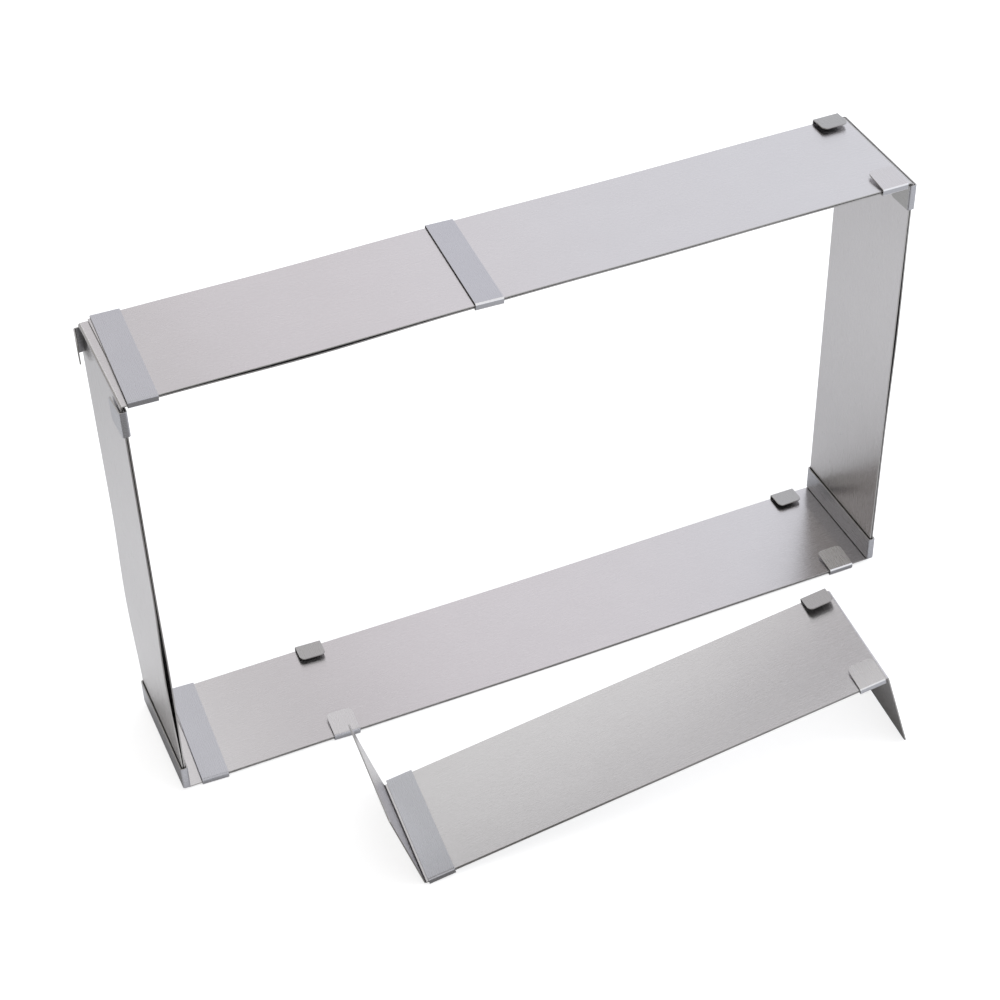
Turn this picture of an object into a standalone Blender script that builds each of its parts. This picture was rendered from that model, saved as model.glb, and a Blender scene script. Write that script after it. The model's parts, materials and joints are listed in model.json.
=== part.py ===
"""Adjustable cake frame: four nested L-shaped steel sheets, their end bands, two sleeves, one divider.

The frame stands on one long side, closed down to its smallest size, and the divider lies in front of it.
Metres, +Z up, X along the long sides, Y across the width of the sheets. Run it in Blender.
"""

import math

import bmesh
import bpy
from mathutils import Matrix, Vector

# Sizes of the closed frame, over the outer faces of its outer sheets
frame_length = 0.300
frame_height = 0.188
sheet_width = 0.050

# The steel: cold rolled sheet for the frame, narrow strip for the bands and sleeves
sheet_thickness = 0.0005
sheet_bend_radius = 0.0005
strip_thickness = 0.0005
strip_bend_radius = 0.0003
strip_width = 0.0105

# What slides on something else, and what is welded flat on it, keeps this gap
running_gap = 0.0003

# Ears: the two ends of a strip, folded over onto the far side of the pair of sheets. The strips lie a
# little off centre, so the front ears are the longer ones, and some back ears stand off by a rise.
front_ear_length = 0.0107
back_ear_length = 0.0077
back_ear_rise = 0.0009
ear_corner_radius = 0.002

# How far the free end of each sheet stops short of the corner that it points at
top_outer_setback = 0.0036
top_inner_setback = 0.0031
right_outer_setback = 0.0010
right_inner_setback = 0.0017
bottom_outer_setback = 0.0091
bottom_inner_setback = 0.0080
left_outer_setback = 0.0010
left_inner_setback = 0.0028

# Where the loose sleeves stand, from the left end of the frame to their left edges
top_sleeve_place = 0.1272
bottom_sleeve_place = 0.0617

# The divider: two equal plates, each with one flange
divider_length = 0.188
flange_length = 0.0418
flange_corner_radius = 0.0025
divider_setback = 0.0016

# Where the divider's left end touches the table, from the frame's left end and front edge
divider_place = 0.0690
divider_distance = 0.0555

# Angles, in degrees
flange_opening = 4.5
divider_yaw = -4.0

# Four strips sit askew by the play that they have round the sheets: the turn, seen from outside the frame
top_end_skew = -2.2
top_sleeve_skew = -2.6
bottom_end_skew = 2.6
bottom_sleeve_skew = 2.4

# How far the ears spring back, in degrees
flat_ear = 0.0
pressed_ear = 2.0
sprung_ear = 5.0
lifted_ear = 9.0

# How finely the folds are divided, and the angle, in degrees, from which an edge is a sharp one
sheet_bend_steps = 5
strip_bend_steps = 4
corner_steps = 4
sharp_edge = 35.0

# The steel's looks: the bands are cut across the grain, and read a little darker and bluer
sheet_colour = (0.72, 0.71, 0.71)
sheet_roughness = 0.32
band_colour = (0.64, 0.65, 0.67)
band_roughness = 0.38

# Worked out from the sizes above
layer_step = sheet_thickness + running_gap
stack_thickness = 2 * sheet_thickness + running_gap
cover_height = running_gap + strip_thickness
band_half_height = stack_thickness / 2 + cover_height
band_half_width = sheet_width / 2 + cover_height

along = Vector((1, 0, 0))
across = Vector((0, 1, 0))
upward = Vector((0, 0, 1))


def clear_scene():
    for thing in list(bpy.data.objects):
        bpy.data.objects.remove(thing, do_unlink=True)


def steel(name, colour, roughness):
    material = bpy.data.materials.new(name)
    material.use_nodes = True
    surface = material.node_tree.nodes["Principled BSDF"]
    surface.inputs["Base Color"].default_value = (*colour, 1)
    surface.inputs["Metallic"].default_value = 1
    surface.inputs["Roughness"].default_value = roughness
    return material


def right_of(heading):
    return Vector((heading.y, -heading.x))


def folded_faces(path, thickness, bend_radius, steps):
    """Both faces of a folded sheet. The path is its outer face, and every fold turns to the right."""
    path = [Vector(point) for point in path]
    first = (path[1] - path[0]).normalized()
    last = (path[-1] - path[-2]).normalized()
    outer_radius = bend_radius + thickness
    outer = [path[0]]
    inner = [path[0] + right_of(first) * thickness]
    for before, corner, after in zip(path, path[1:], path[2:]):
        entry = (corner - before).normalized()
        leave = (after - corner).normalized()
        turn = entry.angle(leave)
        start = corner - entry * outer_radius * math.tan(turn / 2)
        centre = start + right_of(entry) * outer_radius
        for step in range(steps + 1):
            spoke = Matrix.Rotation(-turn * step / steps, 2) @ -right_of(entry)
            outer.append(centre + spoke * outer_radius)
            inner.append(centre + spoke * bend_radius)
    outer.append(path[-1])
    inner.append(path[-1] + right_of(last) * thickness)
    return outer, inner


def folded_mesh(name, faces, run, spread, width_from, width_to, rounded_ends, corner_radius):
    """A folded sheet: its section lies along run and upward, and it is as wide as spread says.

    The corners of the ends in rounded_ends, 0 for the first and 1 for the last, are rounded.
    """
    outer, inner = faces
    outline = outer + inner[::-1]
    count = len(outline)
    half = len(outer)
    shape = bmesh.new()
    rows = []
    for reach in (width_from, width_to):
        row = [shape.verts.new(run * p.x + upward * p.y + spread * reach) for p in outline]
        rows.append(row)
        for i in range(half - 1):
            shape.faces.new((row[i], row[i + 1], row[count - 2 - i], row[count - 1 - i]))
    for i in range(count):
        j = (i + 1) % count
        shape.faces.new((rows[0][i], rows[0][j], rows[1][j], rows[1][i]))
    tips = {0: (0, count - 1), 1: (half - 1, half)}
    corners = [shape.edges.get([row[i] for i in tips[end]]) for row in rows for end in rounded_ends]
    if corners:
        bmesh.ops.bevel(shape, geom=corners, offset=corner_radius, segments=corner_steps,
                        profile=0.5, affect="EDGES")
    bmesh.ops.recalc_face_normals(shape, faces=shape.faces)
    mesh = bpy.data.meshes.new(name)
    shape.to_mesh(mesh)
    shape.free()
    mesh.shade_smooth()
    mesh.set_sharp_from_angle(angle=math.radians(sharp_edge))
    return mesh


def add_piece(mesh, unit, place, colour, roughness):
    """One sub-part, at its place in the frame, hung on the unit that it moves with."""
    piece = bpy.data.objects.new(mesh.name, mesh)
    bpy.context.collection.objects.link(piece)
    mesh.materials.append(steel(mesh.name + "_steel", colour, roughness))
    piece.parent = unit
    piece.matrix_local = unit_places[unit.name].inverted() @ place


def add_sheet(mesh, unit, place):
    add_piece(mesh, unit, place, sheet_colour, sheet_roughness)


def add_band(mesh, unit, place):
    add_piece(mesh, unit, place, band_colour, band_roughness)


def add_unit(name, place, parent):
    """An empty on a slide's axis, which carries the pieces that move together."""
    unit = bpy.data.objects.new(name, None)
    bpy.context.collection.objects.link(unit)
    unit.empty_display_size = sheet_width
    unit.parent = parent
    parent_place = unit_places[parent.name] if parent else Matrix.Identity(4)
    unit.matrix_local = parent_place.inverted() @ place
    unit_places[name] = place
    return unit


def band_mesh(name, ears, turned_over=False):
    """A strip folded into a flat C, centred on the pair of sheets, its ears on the lower side.

    The ears are the front and the back one: the angle of each, and how far it stands off its sheet.
    """
    lengths = (front_ear_length, back_ear_length)
    drawn = []
    for length, (angle, rise) in zip(lengths, ears):
        reach = length + cover_height
        lift = math.radians(angle)
        level = band_half_height + rise
        drawn.append((level, reach * math.cos(lift), level + reach * math.sin(lift)))
    if turned_over:
        drawn.reverse()
    (near_level, near_reach, near_tip), (far_level, far_reach, far_tip) = drawn
    side = band_half_width
    path = [
        (-side + near_reach, -near_tip),
        (-side, -near_level),
        (-side, band_half_height),
        (side, band_half_height),
        (side, -far_level),
        (side - far_reach, -far_tip),
    ]
    faces = folded_faces(path, strip_thickness, strip_bend_radius, strip_bend_steps)
    return folded_mesh(name, faces, across, along, 0, strip_width, (0, 1), ear_corner_radius)


def side_places():
    """The four sides in clockwise order. Each starts at a corner, on the outer face of its outer sheet."""
    corners = {
        "top": (0, frame_height, 0),
        "right": (frame_length, frame_height, 90),
        "bottom": (frame_length, 0, 180),
        "left": (0, 0, 270),
    }
    places = {}
    for side, (x, z, turn) in corners.items():
        shift = Matrix.Translation((x, sheet_width / 2, z))
        places[side] = shift @ Matrix.Rotation(math.radians(turn), 4, "Y")
    return places


def on_side(side, distance, turned_over, skew):
    """The place of a band on a side: how far along it, which way up, and how far askew."""
    middle = Matrix.Translation((distance + strip_width / 2, 0, -stack_thickness / 2))
    turn = Matrix.Rotation(math.radians(skew), 4, "Z")
    start = Matrix.Translation((-strip_width / 2, 0, 0))
    flip = Matrix.Rotation(math.pi if turned_over else 0, 4, "X")
    return sides[side] @ middle @ turn @ start @ flip


side_lengths = {"top": frame_length, "right": frame_height, "bottom": frame_length, "left": frame_height}
outer_setbacks = {
    "top": top_outer_setback,
    "right": right_outer_setback,
    "bottom": bottom_outer_setback,
    "left": left_outer_setback,
}
inner_setbacks = {
    "top": top_inner_setback,
    "right": right_inner_setback,
    "bottom": bottom_inner_setback,
    "left": left_inner_setback,
}
outer_skews = {"top": top_end_skew}
inner_skews = {"bottom": bottom_end_skew}

# Each L-shaped sheet is the outer one of a side and, round the next corner, the inner one of the next side
corner_sheets = {
    "top_right": ("top", "right"),
    "bottom_right": ("right", "bottom"),
    "bottom_left": ("bottom", "left"),
    "top_left": ("left", "top"),
}

# Ears as they spring back: the angle, and the rise off the sheet
flat = (flat_ear, 0)
pressed = (pressed_ear, 0)
sprung = (sprung_ear, 0)
raised = (pressed_ear, back_ear_rise)
lifted = (lifted_ear, back_ear_rise)

# The front and the back ear of each end band. They are flat where the frame stands on them.
band_ears = {
    "top_right_outer": (sprung, sprung),
    "top_right_inner": (pressed, pressed),
    "bottom_right_outer": (pressed, pressed),
    "bottom_right_inner": (flat, flat),
    "bottom_left_outer": (sprung, raised),
    "bottom_left_inner": (pressed, lifted),
    "top_left_outer": (pressed, pressed),
    "top_left_inner": (sprung, raised),
}


def build_corner(name, unit):
    """One L-shaped sheet with the two bands that are spot-welded on its ends."""
    outer_side, inner_side = corner_sheets[name]
    outer_end = outer_setbacks[outer_side]
    corner = side_lengths[outer_side] - layer_step
    inner_end = side_lengths[inner_side] - inner_setbacks[inner_side]
    path = [(outer_end, 0), (corner, 0), (corner, -inner_end)]
    faces = folded_faces(path, sheet_thickness, sheet_bend_radius, sheet_bend_steps)
    half_width = sheet_width / 2
    sheet = folded_mesh(name + "_sheet", faces, along, across, -half_width, half_width, (), 0)
    add_sheet(sheet, unit, sides[outer_side])
    outer_band = band_mesh(name + "_outer_band", band_ears[name + "_outer"])
    outer_skew = outer_skews.get(outer_side, 0)
    add_band(outer_band, unit, on_side(outer_side, outer_end, False, outer_skew))
    inner_band = band_mesh(name + "_inner_band", band_ears[name + "_inner"], turned_over=True)
    inner_skew = inner_skews.get(inner_side, 0)
    add_band(inner_band, unit, on_side(inner_side, inner_end - strip_width, True, inner_skew))


def build_sleeve(name, unit, side, distance, skew, ears):
    """A loose sleeve round both sheets of a long side."""
    add_band(band_mesh(name, ears), unit, on_side(side, distance, False, skew))


def divider_place_matrix():
    """The divider leans on its right flange: its left ears and the flange's far edge touch the table."""
    opening = math.radians(flange_opening)
    left_foot = Vector((divider_setback, -stack_thickness - cover_height))
    right_foot = Vector((divider_length, 0))
    right_foot += flange_length * Vector((math.sin(opening), -math.cos(opening)))
    right_foot -= sheet_thickness * Vector((math.cos(opening), math.sin(opening)))
    span = right_foot - left_foot
    pitch = math.atan2(-span.y, span.x)
    foot = Matrix.Translation((divider_place, -divider_distance, -cover_height))
    turn = Matrix.Rotation(math.radians(divider_yaw), 4, "Z") @ Matrix.Rotation(-pitch, 4, "Y")
    return foot @ turn @ Matrix.Translation((-left_foot.x, 0, -left_foot.y))


def build_divider_half(name, unit, place, ears):
    """A plate with its flange folded down at the far end, and the band on its near end."""
    opening = math.radians(flange_opening)
    tip = (divider_length + flange_length * math.sin(opening), -flange_length * math.cos(opening))
    path = [(divider_setback, 0), (divider_length, 0), tip]
    faces = folded_faces(path, sheet_thickness, sheet_bend_radius, sheet_bend_steps)
    half_width = sheet_width / 2
    plate = folded_mesh(name + "_plate", faces, along, across, -half_width, half_width,
                        (1,), flange_corner_radius)
    add_sheet(plate, unit, place)
    band = band_mesh(name + "_band", ears)
    shift = Matrix.Translation((divider_setback, 0, -stack_thickness / 2))
    add_band(band, unit, place @ shift)


def centre_on_floor(root):
    """Moves everything so that the origin is under the middle of the part, at the table."""
    bpy.context.view_layer.update()
    points = []
    for piece in bpy.data.objects:
        if piece.type == "MESH":
            points += [piece.matrix_world @ vertex.co for vertex in piece.data.vertices]
    low = Vector([min(p[i] for p in points) for i in range(3)])
    high = Vector([max(p[i] for p in points) for i in range(3)])
    middle = (low + high) / 2
    root.location = (-middle.x, -middle.y, -low.z)


clear_scene()
unit_places = {}
sides = side_places()
root = add_unit("part_origin", Matrix.Identity(4), None)

# The bottom left sheet stands on the table and carries the rest
middle_of_width = sheet_width / 2
middle_of_stack = stack_thickness / 2
left_guide = Matrix.Translation((middle_of_stack, middle_of_width, 0))
bottom_guide = Matrix.Translation((0, middle_of_width, middle_of_stack))
top_guide = Matrix.Translation((0, middle_of_width, frame_height - middle_of_stack))
bottom_left = add_unit("bottom_left_unit", bottom_guide, root)
top_left = add_unit("top_left_unit", left_guide, bottom_left)
bottom_right = add_unit("bottom_right_unit", bottom_guide, bottom_left)
top_right = add_unit("top_right_unit", top_guide, top_left)
build_corner("bottom_left", bottom_left)
build_corner("top_left", top_left)
build_corner("bottom_right", bottom_right)
build_corner("top_right", top_right)

# The sleeves ride on the long sides
top_sleeve_unit = add_unit("top_sleeve_unit", top_guide, top_left)
bottom_sleeve_unit = add_unit("bottom_sleeve_unit", bottom_guide, bottom_left)
bottom_sleeve_distance = frame_length - bottom_sleeve_place - strip_width
top_sleeve_ears = (sprung, sprung)
bottom_sleeve_ears = (sprung, raised)
build_sleeve("top_sleeve", top_sleeve_unit, "top", top_sleeve_place, top_sleeve_skew, top_sleeve_ears)
build_sleeve("bottom_sleeve", bottom_sleeve_unit, "bottom", bottom_sleeve_distance, bottom_sleeve_skew,
             bottom_sleeve_ears)

# The divider: the right half has its flange down, and the left half is the same, turned end for end
divider = divider_place_matrix()
middle = Matrix.Translation((divider_length / 2, 0, -stack_thickness / 2))
turned = divider @ middle @ Matrix.Rotation(math.pi, 4, "Y") @ middle.inverted()
divider_left = add_unit("divider_left_unit", divider, root)
divider_right = add_unit("divider_right_unit", divider, divider_left)
build_divider_half("divider_left", divider_left, turned, (sprung, lifted))
build_divider_half("divider_right", divider_right, divider, (flat, flat))

centre_on_floor(root)
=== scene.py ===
"""Looks of the adjustable cake frame: satin steel sheets, bands, sleeves and divider on a white table."""
import json
import math

import bmesh
import bpy
from mathutils import Matrix, Vector


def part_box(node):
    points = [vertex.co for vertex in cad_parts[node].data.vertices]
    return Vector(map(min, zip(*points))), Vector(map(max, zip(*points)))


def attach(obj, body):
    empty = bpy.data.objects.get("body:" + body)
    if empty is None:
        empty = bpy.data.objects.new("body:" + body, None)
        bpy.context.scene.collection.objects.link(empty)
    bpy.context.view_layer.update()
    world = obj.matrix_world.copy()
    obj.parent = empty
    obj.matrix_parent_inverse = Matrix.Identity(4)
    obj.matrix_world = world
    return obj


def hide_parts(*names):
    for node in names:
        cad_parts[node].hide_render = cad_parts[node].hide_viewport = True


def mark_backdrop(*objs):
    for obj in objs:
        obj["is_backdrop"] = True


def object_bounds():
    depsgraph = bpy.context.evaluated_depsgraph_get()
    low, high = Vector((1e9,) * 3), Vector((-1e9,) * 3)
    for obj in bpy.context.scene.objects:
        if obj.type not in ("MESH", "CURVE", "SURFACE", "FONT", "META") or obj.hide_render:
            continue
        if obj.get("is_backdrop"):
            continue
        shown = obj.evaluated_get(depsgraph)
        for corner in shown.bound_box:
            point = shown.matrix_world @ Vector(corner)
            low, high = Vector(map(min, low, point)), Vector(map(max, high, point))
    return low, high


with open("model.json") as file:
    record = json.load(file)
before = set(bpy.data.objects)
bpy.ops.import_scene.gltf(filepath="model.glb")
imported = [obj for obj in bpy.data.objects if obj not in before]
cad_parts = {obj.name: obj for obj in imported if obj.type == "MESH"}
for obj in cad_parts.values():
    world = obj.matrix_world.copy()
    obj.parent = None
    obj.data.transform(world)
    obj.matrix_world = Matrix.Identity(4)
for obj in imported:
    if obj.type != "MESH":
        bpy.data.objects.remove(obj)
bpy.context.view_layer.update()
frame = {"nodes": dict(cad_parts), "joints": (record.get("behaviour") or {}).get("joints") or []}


# Camera
# A long lens above and to the left of the frame's front, where the photograph was taken from.
camera_place = (-0.2562, -0.5556, 0.6530)
camera_turn = (48.35, 1.28, -23.74)
lens_length = 81.60

camera = bpy.data.objects.new("camera", bpy.data.cameras.new("camera"))
bpy.context.scene.collection.objects.link(camera)
camera.location = camera_place
camera.rotation_euler = [math.radians(angle) for angle in camera_turn]
camera.data.lens = lens_length
bpy.context.scene.camera = camera
bpy.context.scene.view_settings.view_transform = "Standard"


# Studio
# A white table inside a light tent whose left side stays open to the room, dark and warm, while the
# right side is white and a little blue. A softbox hangs overhead, and the metal doesn't mirror it, so
# that no sheet burns out from any side.
table_size = 12.0
table_gap = 0.0002
table_colour = (0.60, 0.61, 0.62)

# The table's glow, as the camera sees it, and as the metal mirrors it: brighter on the left than on
# the right, and fading behind the frame. Places are in metres along x or y.
table_glow = 0.74
left_glow_in_metal = 0.38
right_glow_in_metal = 0.20
glow_left_end = 0.03
glow_right_end = 0.12
glow_near_end = 0.10
glow_far_end = 0.27
glow_far_share = 0.5

# The shade round the sheets' feet and on the near left part of the table, which only the metal shows,
# as dark feet and front edges
contact_reach = 0.03
contact_darkness = 3.0
contact_samples = 4
shade_in_metal = (0.36, 0.355, 0.345)
shade_back_end = -0.028
shade_front_end = -0.050
shade_left_end = -0.03
shade_right_end = 0.09

# The tent's colours, at positions from 0 on the left to 1 on the right. The steps lean: a place lower
# down counts as further right.
tent_radius = 4.0
tent_segments = 48
tent_rings = 24
tent_fall = 0.30
tent_steps = ((0.00, (0.30, 0.28, 0.26)), (0.12, (0.25, 0.23, 0.21)), (0.19, (0.97, 0.98, 0.97)),
              (0.315, (1.18, 1.19, 1.18)), (0.358, (0.38, 0.36, 0.36)), (0.40, (1.10, 1.05, 1.09)),
              (0.46, (0.94, 0.92, 0.95)), (0.50, (0.96, 0.98, 1.03)), (1.00, (0.96, 0.98, 1.03)))
softbox_size = 0.9
softbox_place = (0.80, -0.35, 1.7)
softbox_power = 7.0


def new_material(name):
    """An empty node material, and a function that adds a node to it and sets its named inputs."""
    material = bpy.data.materials.new(name)
    material.use_nodes = True
    tree = material.node_tree
    tree.nodes.clear()
    return material, adder(tree)


def adder(tree):
    """A function that adds a node to the tree. Inputs take a plain value or another node's output."""
    def add(kind, **inputs):
        node = tree.nodes.new(kind)
        for key, value in inputs.items():
            name = key.replace("_", " ")
            if name in node.inputs.keys():
                socket = node.inputs[name]
            else:
                socket = node.inputs[int(name.split()[-1])]
            if isinstance(value, bpy.types.NodeSocket):
                tree.links.new(value, socket)
            else:
                socket.default_value = value
        return node
    return add


def rgba(colour):
    """The colour with full opacity, as sockets take it."""
    return (*colour, 1)


bpy.ops.object.select_all(action="DESELECT")
bpy.ops.mesh.primitive_plane_add(size=table_size, location=(0, 0, -table_gap))
table = bpy.context.object
table.name = "table"
white, add = new_material("white_table")
seen = add("ShaderNodeLightPath").outputs
in_metal = add("ShaderNodeMath", input_0=seen["Is Glossy Ray"], input_1=seen["Is Transmission Ray"])
place = add("ShaderNodeSeparateXYZ", Vector=add("ShaderNodeTexCoord").outputs["Object"])
fading = add("ShaderNodeMapRange", Value=place.outputs["X"],
             From_Min=glow_left_end, From_Max=glow_right_end,
             To_Min=left_glow_in_metal, To_Max=right_glow_in_metal)
falling = add("ShaderNodeMapRange", Value=place.outputs["Y"],
              From_Min=glow_near_end, From_Max=glow_far_end, To_Min=1.0, To_Max=glow_far_share)
far_glow = add("ShaderNodeMath", input_0=fading.outputs[0], input_1=falling.outputs[0])
far_glow.operation = "MULTIPLY"
metal_glow = add("ShaderNodeMath", input_0=in_metal.outputs[0], input_1=far_glow.outputs[0])
metal_glow.operation = "MULTIPLY"
glow = add("ShaderNodeMath", input_0=seen["Is Camera Ray"], input_1=table_glow,
           input_2=metal_glow.outputs[0])
glow.operation = "MULTIPLY_ADD"
top = add("ShaderNodeBsdfDiffuse", Color=rgba(table_colour))
light = add("ShaderNodeEmission", Strength=glow.outputs[0])
both = add("ShaderNodeAddShader", input_0=top.outputs[0], input_1=light.outputs[0])
contact = add("ShaderNodeAmbientOcclusion", Distance=contact_reach)
contact.samples = contact_samples
openness = add("ShaderNodeMath", input_0=contact.outputs["AO"], input_1=contact_darkness)
openness.operation = "POWER"
behind_shade = add("ShaderNodeMapRange", Value=place.outputs["Y"],
                   From_Min=shade_back_end, From_Max=shade_front_end, To_Min=1.0, To_Max=0.0)
beside_shade = add("ShaderNodeMapRange", Value=place.outputs["X"],
                   From_Min=shade_left_end, From_Max=shade_right_end)
out_of_shade = add("ShaderNodeMath", input_0=behind_shade.outputs[0], input_1=beside_shade.outputs[0])
out_of_shade.operation = "MAXIMUM"
lit = add("ShaderNodeMath", input_0=openness.outputs[0], input_1=out_of_shade.outputs[0])
lit.operation = "MULTIPLY"
unlit = add("ShaderNodeMath", input_0=1.0, input_1=lit.outputs[0])
unlit.operation = "SUBTRACT"
shaded = add("ShaderNodeMath", input_0=unlit.outputs[0], input_1=seen["Is Glossy Ray"])
shaded.operation = "MULTIPLY"
shade = add("ShaderNodeBsdfDiffuse", Color=rgba(shade_in_metal))
surface = add("ShaderNodeMixShader", input_0=shaded.outputs[0], input_1=both.outputs[0],
              input_2=shade.outputs[0])
add("ShaderNodeOutputMaterial", Surface=surface.outputs[0])
table.data.materials.append(white)

bpy.ops.mesh.primitive_uv_sphere_add(segments=tent_segments, ring_count=tent_rings, radius=tent_radius)
tent = bpy.context.object
tent.name = "light_tent"
tent.visible_camera = False
tent.visible_shadow = False
cloth, add = new_material("tent_cloth")
place = add("ShaderNodeTexCoord").outputs["Object"]
heading = add("ShaderNodeVectorMath", input_0=place)
heading.operation = "NORMALIZE"
sideways = add("ShaderNodeSeparateXYZ", Vector=heading.outputs[0])
share = add("ShaderNodeMapRange", Value=sideways.outputs["X"], From_Min=-1.0, From_Max=1.0)
lowered = add("ShaderNodeMath", input_0=sideways.outputs["Z"], input_1=-tent_fall, input_2=share.outputs[0])
lowered.operation = "MULTIPLY_ADD"
ramp = add("ShaderNodeValToRGB", Fac=lowered.outputs[0])
ramp.color_ramp.interpolation = "EASE"
while len(ramp.color_ramp.elements) < len(tent_steps):
    ramp.color_ramp.elements.new(0.5)
for stop, (position, colour) in zip(ramp.color_ramp.elements, tent_steps):
    stop.position = position
    stop.color = rgba(colour)
light = add("ShaderNodeEmission", Color=ramp.outputs["Color"])
add("ShaderNodeOutputMaterial", Surface=light.outputs[0])
tent.data.materials.append(cloth)

softbox = bpy.data.objects.new("softbox", bpy.data.lights.new("softbox", "AREA"))
bpy.context.scene.collection.objects.link(softbox)
softbox.location = softbox_place
softbox.data.size = softbox_size
softbox.data.energy = softbox_power
softbox.rotation_euler = Vector(softbox_place).to_track_quat("Z", "Y").to_euler()
softbox.visible_camera = False
softbox.visible_glossy = False

world = bpy.data.worlds.new("white_backdrop")
bpy.context.scene.world = world
world.use_nodes = True
world.node_tree.nodes["Background"].inputs["Color"].default_value = (1, 1, 1, 1)
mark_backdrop(table, tent)


# Corner sheets
# Four long strips of half-millimetre stainless steel, each folded once into an L. Each is the outer
# layer of one side of the frame and the inner layer of the next, and thin enough to bow between its bands.
sheet_thickness = 0.0005
sheet_outer_radius = 0.0010
sheet_fold_segments = 8
sheet_panel_cuts = 39
deburr_width = 0.00007
deburr_segments = 2
deburr_angle = 50
near_enough = 0.00001

# The satin faces: base colour in the light and dark clouds, and the grain of rolling and brushing.
# The roughness swings a little from streak to streak, and the relief is in metres.
sheet_colour = (0.680, 0.665, 0.675)
sheet_shade = (0.650, 0.635, 0.645)
sheet_roughness = 0.26
sheet_streak_length = 0.012
sheet_streak_width = 0.00022
cloud_size = 0.018
cloud_relief = 0.35
roughness_swing = 0.02
grain_strength = 0.15
grain_depth = 0.0000008
grain_turn = 0.25
grain_pull = 0.75

# The sheared edges, with patches of tone and short tears, whose scales are per metre
edge_colour = (0.54, 0.53, 0.52)
edge_roughness = 0.46
edge_patch_scale = 90.0
edge_darkest = 0.75
edge_brightest = 1.15
edge_tear_scale = 2500.0
edge_tear_strength = 0.4
edge_tear_depth = 0.00002

# Corner of each sheet, and which way its two legs point: sideways, then up or down
sheet_corners = {
    "top_left": (-1, 1),
    "top_right": (1, 1),
    "bottom_right": (1, -1),
    "bottom_left": (-1, -1),
}

# Where each sheet bows: the bow's middle in x and z from the frame's centre line and the table,
# its half length, and how far and which way the middle is pushed
sheet_bows = {
    "top_left": (
        ((-0.080, 0.188), 0.056, (0, 0, -0.00100)),
        ((0.055, 0.188), 0.045, (0, 0, -0.00030)),
        ((-0.149, 0.058), 0.048, (-0.00085, 0, 0)),
    ),
    "top_right": (
        ((-0.080, 0.188), 0.050, (0, 0, -0.00042)),
        ((0.055, 0.188), 0.060, (0, 0, -0.00030)),
    ),
    "bottom_right": (
        ((0.003, 0.0016), 0.105, (0, 0, -0.00065)),
        ((0.150, 0.120), 0.055, (0.00050, 0, 0)),
    ),
    "bottom_left": (
        ((0.003, 0.0010), 0.105, (0, 0, -0.00065)),
        ((-0.148, 0.058), 0.048, (0.00030, 0, 0)),
    ),
}


def pick(kind, test):
    """In edit mode, selects the vertices or edges whose every point passes the test."""
    bpy.ops.mesh.select_mode(type=kind)
    bpy.ops.mesh.select_all(action="DESELECT")
    shape = bmesh.from_edit_mesh(bpy.context.edit_object.data)
    for thing in shape.verts if kind == "VERT" else shape.edges:
        points = [thing.co] if kind == "VERT" else [vertex.co for vertex in thing.verts]
        thing.select_set(test(points))
    shape.select_flush_mode()
    bmesh.update_edit_mesh(bpy.context.edit_object.data)


def folded_strip(name, path, width, outer_radius, segments):
    """A strip drawn out panel by panel along its outer face, x and z, then rounded at each fold.

    Every fold turns right, so the plane's own normal is the outer face. Y runs across the strip.
    """
    path = [Vector((x, 0, z)) for x, z in path]
    first = path[1] - path[0]
    bpy.ops.object.select_all(action="DESELECT")
    bpy.ops.mesh.primitive_plane_add(
        size=first.length, location=(path[0] + path[1]) / 2, rotation=(0, -math.atan2(first.z, first.x), 0))
    strip = bpy.context.object
    strip.name = name
    strip.scale.y = width / first.length
    bpy.ops.object.transform_apply(location=True, rotation=True, scale=True)
    bpy.ops.object.mode_set(mode="EDIT")
    pick("EDGE", lambda points: all(flat_distance(p, path[1]) < near_enough for p in points))
    for here, there in zip(path[1:], path[2:]):
        bpy.ops.mesh.extrude_region_move(TRANSFORM_OT_translate={"value": there - here})
    for before, corner, after in zip(path, path[1:], path[2:]):
        turn = (corner - before).angle(after - corner)
        pick("EDGE", lambda points: all(flat_distance(p, corner) < near_enough for p in points))
        bpy.ops.mesh.bevel(offset=outer_radius * math.tan(turn / 2), segments=segments,
                           profile=0.5, affect="EDGES")
    bpy.ops.object.mode_set(mode="OBJECT")
    return strip


def flat_distance(point, other):
    """How far two points are apart along x and z."""
    return math.hypot(point.x - other.x, point.z - other.z)


def cut_long_edges(length, cuts):
    """In edit mode, divides the lengthwise edges of the panels that are longer than length."""
    pick("EDGE", lambda points: abs(points[0].y - points[1].y) < near_enough
         and (points[0] - points[1]).length > length)
    bpy.ops.mesh.subdivide(number_cuts=cuts)


def bow(middle, reach, push):
    """In edit mode, pushes the row of points nearest the middle, and its neighbours with it, smoothly."""
    centre = Vector((middle[0], 0, middle[1]))
    shape = bmesh.from_edit_mesh(bpy.context.edit_object.data)
    nearest = min(flat_distance(vertex.co, centre) for vertex in shape.verts)
    pick("VERT", lambda points: flat_distance(points[0], centre) < nearest + near_enough)
    bpy.ops.transform.translate(value=push, use_proportional_edit=True,
                                proportional_edit_falloff="SMOOTH", proportional_size=reach)


unrolled_length = 0.0


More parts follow.
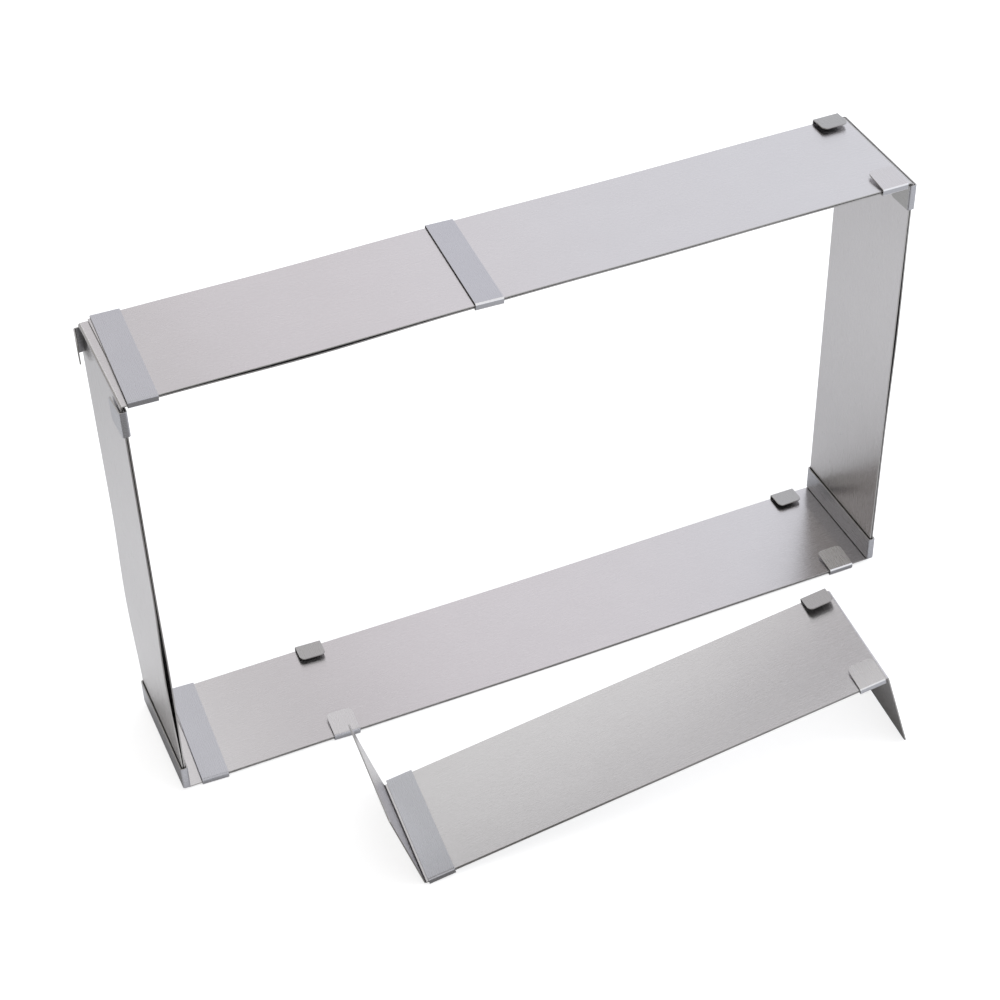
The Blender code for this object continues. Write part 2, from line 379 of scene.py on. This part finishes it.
def unroll(strip, path):
    """A UV map in metres, as if the strip lay flat again: U along its grain and V across it.

    Each strip takes the next stretch of the coil, so that no two have the same marks.
    """
    global unrolled_length
    path = [Vector((x, 0, z)) for x, z in path]
    layer = strip.data.uv_layers.active
    layer.name = "unrolled"
    for loop in strip.data.loops:
        point = strip.data.vertices[loop.vertex_index].co
        here = Vector((point.x, 0, point.z))
        nearest = None
        walked = 0.0
        for start, end in zip(path, path[1:]):
            panel = end - start
            step = min(max((here - start).dot(panel) / panel.length, 0.0), panel.length)
            gap = (start + panel.normalized() * step - here).length
            if nearest is None or gap < nearest:
                nearest = gap
                distance = walked + step
            walked += panel.length
        layer.data[loop.index].uv = (unrolled_length + distance, point.y)
    unrolled_length += sum((end - start).length for start, end in zip(path, path[1:]))


def give_thickness(strip, thickness, *face_materials):
    """Makes the strip solid behind its outer face and takes the burr off its cut edges."""
    for face_material in face_materials:
        strip.data.materials.append(face_material)
        strip.data.materials.append(cut_edge)
    bpy.ops.object.shade_smooth()
    wall = strip.modifiers.new("sheet", "SOLIDIFY")
    wall.thickness = thickness
    wall.offset = -1
    wall.use_even_offset = True
    wall.use_rim = True
    wall.material_offset_rim = 1
    deburr = strip.modifiers.new("deburr", "BEVEL")
    deburr.width = deburr_width
    deburr.segments = deburr_segments
    deburr.limit_method = "ANGLE"
    deburr.angle_limit = math.radians(deburr_angle)
    flats = strip.modifiers.new("flats", "WEIGHTED_NORMAL")
    flats.mode = "FACE_AREA"
    for modifier in ("sheet", "deburr", "flats"):
        bpy.ops.object.modifier_apply(modifier=modifier)


def grain_group():
    """Marks of rolling and brushing, along U: fine streaks, and the soft clouds of an even satin finish."""
    group = bpy.data.node_groups.new("steel_grain", "ShaderNodeTree")
    for name, value in (
        ("Streak Length", sheet_streak_length),
        ("Streak Width", sheet_streak_width),
        ("Cloud Size", cloud_size),
    ):
        group.interface.new_socket(name, in_out="INPUT", socket_type="NodeSocketFloat").default_value = value
    for name in ("Streaks", "Cloud", "Height"):
        group.interface.new_socket(name, in_out="OUTPUT", socket_type="NodeSocketFloat")
    add = adder(group)
    given = add("NodeGroupInput").outputs
    strip_map = add("ShaderNodeUVMap")
    strip_map.uv_map = "unrolled"
    streak_size = add("ShaderNodeCombineXYZ", X=given["Streak Length"], Y=given["Streak Width"], Z=1.0)
    stretched = add("ShaderNodeVectorMath", input_0=strip_map.outputs[0], input_1=streak_size.outputs[0])
    stretched.operation = "DIVIDE"
    streaks = add("ShaderNodeTexNoise", Vector=stretched.outputs[0], Scale=1.0, Detail=2.0, Roughness=0.6)
    cloud_spread = add("ShaderNodeCombineXYZ", X=given["Cloud Size"], Y=given["Cloud Size"], Z=1.0)
    spread = add("ShaderNodeVectorMath", input_0=strip_map.outputs[0], input_1=cloud_spread.outputs[0])
    spread.operation = "DIVIDE"
    cloud = add("ShaderNodeTexNoise", Vector=spread.outputs[0], Scale=1.0, Detail=3.0, Roughness=0.55)
    height = add("ShaderNodeMath", input_0=cloud.outputs["Fac"], input_1=cloud_relief,
                 input_2=streaks.outputs["Fac"])
    height.operation = "MULTIPLY_ADD"
    add("NodeGroupOutput", Streaks=streaks.outputs["Fac"], Cloud=cloud.outputs["Fac"],
        Height=height.outputs[0])
    return group


steel_grain = grain_group()


def satin_steel(name, colour, shade, roughness, streak_length, streak_width):
    """Satin stainless steel whose grain runs along the strip, with clouds of tone and streaks of gloss."""
    material, add = new_material(name)
    grain = add("ShaderNodeGroup")
    grain.node_tree = steel_grain
    grain.inputs["Streak Length"].default_value = streak_length
    grain.inputs["Streak Width"].default_value = streak_width
    tone = add("ShaderNodeMix", Factor=grain.outputs["Cloud"], input_6=rgba(shade), input_7=rgba(colour))
    tone.data_type = "RGBA"
    gloss = add("ShaderNodeMapRange", Value=grain.outputs["Streaks"], From_Min=0.3, From_Max=0.7,
                To_Min=roughness - roughness_swing, To_Max=roughness + roughness_swing)
    relief = add("ShaderNodeBump", Strength=grain_strength, Distance=grain_depth,
                 Height=grain.outputs["Height"])
    direction = add("ShaderNodeTangent")
    direction.direction_type = "UV_MAP"
    direction.uv_map = "unrolled"
    steel = add("ShaderNodeBsdfPrincipled", Base_Color=tone.outputs[2], Metallic=1.0,
                Roughness=gloss.outputs[0], Anisotropic=grain_pull, Anisotropic_Rotation=grain_turn,
                Normal=relief.outputs[0], Tangent=direction.outputs[0])
    add("ShaderNodeOutputMaterial", Surface=steel.outputs[0])
    return material


def sheared_edge(name, colour, roughness):
    """The cut edge: duller and darker than the faces, with the short upright tears of the shears."""
    material, add = new_material(name)
    place = add("ShaderNodeTexCoord").outputs["Object"]
    tears = add("ShaderNodeTexNoise", Vector=place, Scale=edge_tear_scale, Detail=2.0)
    patches = add("ShaderNodeTexNoise", Vector=place, Scale=edge_patch_scale, Detail=2.0)
    tone = add("ShaderNodeMix", Factor=patches.outputs["Fac"],
               input_6=rgba([edge_darkest * part for part in colour]),
               input_7=rgba([edge_brightest * part for part in colour]))
    tone.data_type = "RGBA"
    relief = add("ShaderNodeBump", Strength=edge_tear_strength, Distance=edge_tear_depth,
                 Height=tears.outputs["Fac"])
    steel = add("ShaderNodeBsdfPrincipled", Base_Color=tone.outputs[2], Metallic=1.0,
                Roughness=roughness, Normal=relief.outputs[0])
    add("ShaderNodeOutputMaterial", Surface=steel.outputs[0])
    return material


sheet_face = satin_steel("sheet_steel_face", sheet_colour, sheet_shade, sheet_roughness,
                         sheet_streak_length, sheet_streak_width)
cut_edge = sheared_edge("sheared_edge", edge_colour, edge_roughness)

for name, (sideways, upwards) in sheet_corners.items():
    low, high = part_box(name + "_sheet")
    corner = Vector((high.x if sideways > 0 else low.x, 0, high.z if upwards > 0 else low.z))
    far_x = Vector((low.x if sideways > 0 else high.x, 0, corner.z))
    far_z = Vector((corner.x, 0, low.z if upwards > 0 else high.z))
    ends = (far_x, far_z) if sideways * upwards > 0 else (far_z, far_x)
    path = [(p.x, p.z) for p in (ends[0], corner, ends[1])]
    sheet = folded_strip("sheet_" + name, path, high.y - low.y, sheet_outer_radius, sheet_fold_segments)
    bpy.ops.object.mode_set(mode="EDIT")
    cut_long_edges(2 * sheet_outer_radius, sheet_panel_cuts)
    for middle, reach, push in sheet_bows[name]:
        bow(middle, reach, push)
    bpy.ops.object.mode_set(mode="OBJECT")
    unroll(sheet, path)
    give_thickness(sheet, sheet_thickness, sheet_face)
    sheet.location.y = (low.y + high.y) / 2
    bpy.ops.object.transform_apply(location=True, rotation=True, scale=True)
    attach(sheet, name)
    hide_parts(name + "_sheet")


# End bands and sleeves
# Narrow steel strips, each folded round the edges of both layers into a flat C whose two ears lie on
# the far side. Eight are fixed on the sheets' ends, and two sleeves ride loose on the long sides.
strip_thickness = 0.0005
strip_outer_radius = 0.0008
strip_fold_segments = 7
strip_depth = 0.0029
front_ear_reach = 0.0115
back_ear_reach = 0.0085
back_ear_rise = 0.0009
ear_corner_radius = 0.002
ear_corner_segments = 6
band_colour = (0.552, 0.555, 0.590)
band_shade = (0.520, 0.523, 0.556)
band_roughness = 0.28
band_streak_length = 0.009
band_streak_width = 0.00020
# Lighter copy for the sprung front ears: painted light, standing in for the brighter part of the room they
# mirror
painted_light_ear_colour = (0.670, 0.655, 0.665)
painted_light_ear_dark_cloud = (0.640, 0.625, 0.635)
# Darker copy for the back ears and one front ear pressed into the corner: painted shade, standing in for the
# darker part of the room they mirror
painted_shade_ear_colour = (0.450, 0.445, 0.440)
painted_shade_ear_dark_cloud = (0.420, 0.415, 0.410)
# Near-white copy for the front bends and one front ear: a painted highlight, standing in for the softbox
# that the metal doesn't mirror
painted_highlight_bend_colour = (0.900, 0.900, 0.910)
painted_highlight_bend_dark_cloud = (0.860, 0.860, 0.870)
# Near-black edge colour: painted shade on the long edges of strips that stand a little off the sheet
shaded_edge_colour = (0.11, 0.105, 0.10)
flat_panel_cosine = 0.98
long_edge_cosine = 0.7

# The material slots of a band's faces, each followed by the slot of its cut edge
band_slot = 0
painted_light_ear_slot = 2
painted_shade_ear_slot = 4
painted_highlight_slot = 6

# How the ears have sprung back: the angle in degrees, how far they stand off the sheet, and which face
# they take: the plain band steel, painted light, painted shade or a painted highlight
flat = (0, 0, band_slot)
pressed = (2, 0, band_slot)
pressed_in_painted_shade = (2, 0, painted_shade_ear_slot)
sprung = (5, 0, painted_light_ear_slot)
sprung_with_painted_highlight = (5, 0, painted_highlight_slot)
raised = (2, back_ear_rise, painted_shade_ear_slot)
lifted = (9, back_ear_rise, painted_shade_ear_slot)

# Each band: which way its flat strip faces, how far askew it sits in degrees, the body it rides on,
# and its front and back ears
bands = {
    "top_right_outer_band": ((0, 0, 1), -2.2, "top_right", (sprung, sprung)),
    "top_right_inner_band": ((-1, 0, 0), 0, "top_right", (pressed, pressed)),
    "bottom_right_outer_band": ((1, 0, 0), 0, "bottom_right", (pressed_in_painted_shade, pressed)),
    "bottom_right_inner_band": ((0, 0, 1), -2.6, "bottom_right", (flat, flat)),
    "bottom_left_outer_band": ((0, 0, -1), 0, "bottom_left", (sprung_with_painted_highlight, raised)),
    "bottom_left_inner_band": ((1, 0, 0), 0, "bottom_left", (pressed, lifted)),
    "top_left_outer_band": ((-1, 0, 0), 0, "top_left", (pressed, pressed)),
    "top_left_inner_band": ((0, 0, -1), 0, "top_left", (sprung, raised)),
    "top_sleeve": ((0, 0, 1), -2.6, "top_sleeve", (sprung, sprung)),
    "bottom_sleeve": ((0, 0, -1), 2.4, "bottom_sleeve", (sprung, raised)),
}

# Bands whose front bends get a painted highlight
bends_with_painted_highlight = ("top_left_inner_band", "bottom_left_outer_band", "top_sleeve", "divider_left_band")


def measured(node, axes):
    """The lowest and highest corner of a CAD node along the three columns of axes."""
    turned = axes.transposed()
    points = [turned @ vertex.co for vertex in frame["nodes"][node].data.vertices]
    return [Vector([pick_end(p[i] for p in points) for i in range(3)]) for pick_end in (min, max)]


def axes_of(across, outward, skew):
    """A turned set of axes: x across the sheets, y along the side and z out of the flat strip."""
    outward = Vector(outward)
    across = Matrix.Rotation(math.radians(skew), 3, outward) @ Vector(across)
    return Matrix((across, outward.cross(across), outward)).transposed()


def add_band(node, axes, body, ears, edge_in_painted_shade=None):
    """Folds one band round both layers, to the CAD node's size, and puts it in the node's place.

    A strip that stands a little off the sheet has its long edges in shade: they get a near-black edge
    colour, painted shade.
    """
    low, high = measured(node, axes)
    side = (high.x - low.x) / 2
    (front_angle, front_rise, front_slot), (back_angle, back_rise, back_slot) = ears
    front = Matrix.Rotation(math.radians(front_angle), 2) @ Vector((front_ear_reach, 0))
    back = Matrix.Rotation(math.radians(back_angle), 2) @ Vector((back_ear_reach, 0))
    front_level = -strip_depth - front_rise
    back_level = -strip_depth - back_rise
    path = [(front.x - side, front_level - front.y), (-side, front_level), (-side, 0),
            (side, 0), (side, back_level), (side - back.x, back_level - back.y)]
    band = folded_strip("band_" + node, path, high.y - low.y, strip_outer_radius, strip_fold_segments)
    bpy.ops.object.mode_set(mode="EDIT")
    tips = [Vector((x, 0, z)) for x, z in (path[0], path[-1])]
    pick("VERT", lambda points: min(flat_distance(points[0], tip) for tip in tips) < near_enough)
    bpy.ops.mesh.bevel(offset=ear_corner_radius, segments=ear_corner_segments, affect="VERTICES")
    bpy.ops.object.mode_set(mode="OBJECT")
    for face in band.data.polygons:
        in_front = face.center.x < 0
        in_bend = max(abs(face.normal.x), abs(face.normal.z)) < flat_panel_cosine
        if face.center.z < -strip_depth + near_enough:
            face.material_index = front_slot if in_front else back_slot
        elif node in bends_with_painted_highlight and in_front and in_bend:
            face.material_index = painted_highlight_slot
    unroll(band, path)
    place = axes @ Vector(((low.x + high.x) / 2, (low.y + high.y) / 2, high.z))
    band.matrix_world = Matrix.Translation(place) @ axes.to_4x4()
    bpy.ops.object.transform_apply(location=True, rotation=True, scale=True)
    give_thickness(band, strip_thickness, band_face, painted_light_ear_face, painted_shade_ear_face, painted_highlight_bend_face)
    if edge_in_painted_shade:
        band.data.materials.append(edge_in_painted_shade)
        for face in band.data.polygons:
            if face.material_index % 2 == 1 and abs(face.normal.dot(axes.col[1])) > long_edge_cosine:
                face.material_index = len(band.data.materials) - 1
    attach(band, body)
    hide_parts(node)


def strip_steel(name, colour, shade):
    """The satin steel of the narrow strips, whose marks are shorter than the sheets'."""
    return satin_steel(name, colour, shade, band_roughness, band_streak_length, band_streak_width)


band_face = strip_steel("band_steel_face", band_colour, band_shade)
painted_light_ear_face = strip_steel("painted_light_ear_face", painted_light_ear_colour, painted_light_ear_dark_cloud)
painted_shade_ear_face = strip_steel("painted_shade_ear_face", painted_shade_ear_colour, painted_shade_ear_dark_cloud)
painted_highlight_bend_face = strip_steel("painted_highlight_bend_face", painted_highlight_bend_colour, painted_highlight_bend_dark_cloud)
shaded_edge = sheared_edge("shaded_slit_edge", shaded_edge_colour, edge_roughness)
for node, (outward, skew, body, ears) in bands.items():
    add_band(node, axes_of((0, 1, 0), outward, skew), body, ears, shaded_edge if node == body else None)


# Divider
# Two equal plates with a flange folded square at one end and a band round the other. The right half
# has its flange down and slides over the left half, which lies the other way up.
flange_opening = 4.5
flange_corner_radius = 0.0025
plate_cuts = 19

slide = next(joint for joint in frame["joints"] if joint["name"] == "divider_slide")
lengthwise = Vector(slide["axis"]).normalized()
crosswise = Vector((0, 0, 1)).cross(lengthwise).normalized()
upright = lengthwise.cross(crosswise)


def add_plate(node, sideways, body):
    """One divider plate: a flat panel that ends in a flange, which turns away from the outward side."""
    outward = upright * sideways
    axes = Matrix((lengthwise * sideways, crosswise, outward)).transposed()
    low, high = measured(node, axes)
    opening = math.radians(flange_opening)
    drop = high.z - low.z - sheet_thickness * math.sin(opening)
    path = [(low.x, 0), (high.x - drop * math.tan(opening), 0), (high.x, -drop)]
    plate = folded_strip("plate_" + body, path, high.y - low.y, sheet_outer_radius, sheet_fold_segments)
    bpy.ops.object.mode_set(mode="EDIT")
    cut_long_edges(sheet_outer_radius, plate_cuts)
    tip = Vector((path[-1][0], 0, path[-1][1]))
    pick("VERT", lambda points: flat_distance(points[0], tip) < near_enough)
    bpy.ops.mesh.bevel(offset=flange_corner_radius, segments=ear_corner_segments, affect="VERTICES")
    bpy.ops.object.mode_set(mode="OBJECT")
    unroll(plate, path)
    place = axes @ Vector((0, (low.y + high.y) / 2, high.z))
    plate.matrix_world = Matrix.Translation(place) @ axes.to_4x4()
    bpy.ops.object.transform_apply(location=True, rotation=True, scale=True)
    give_thickness(plate, sheet_thickness, sheet_face)
    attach(plate, body)
    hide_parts(node)


add_plate("divider_left_plate", -1, "divider_left")
add_plate("divider_right_plate", 1, "divider_right")
add_band("divider_left_band", axes_of(crosswise, -upright, 0), "divider_left", (sprung, lifted), shaded_edge)
add_band("divider_right_band", axes_of(crosswise, upright, 0), "divider_right", (flat, flat), shaded_edge)


low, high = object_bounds()
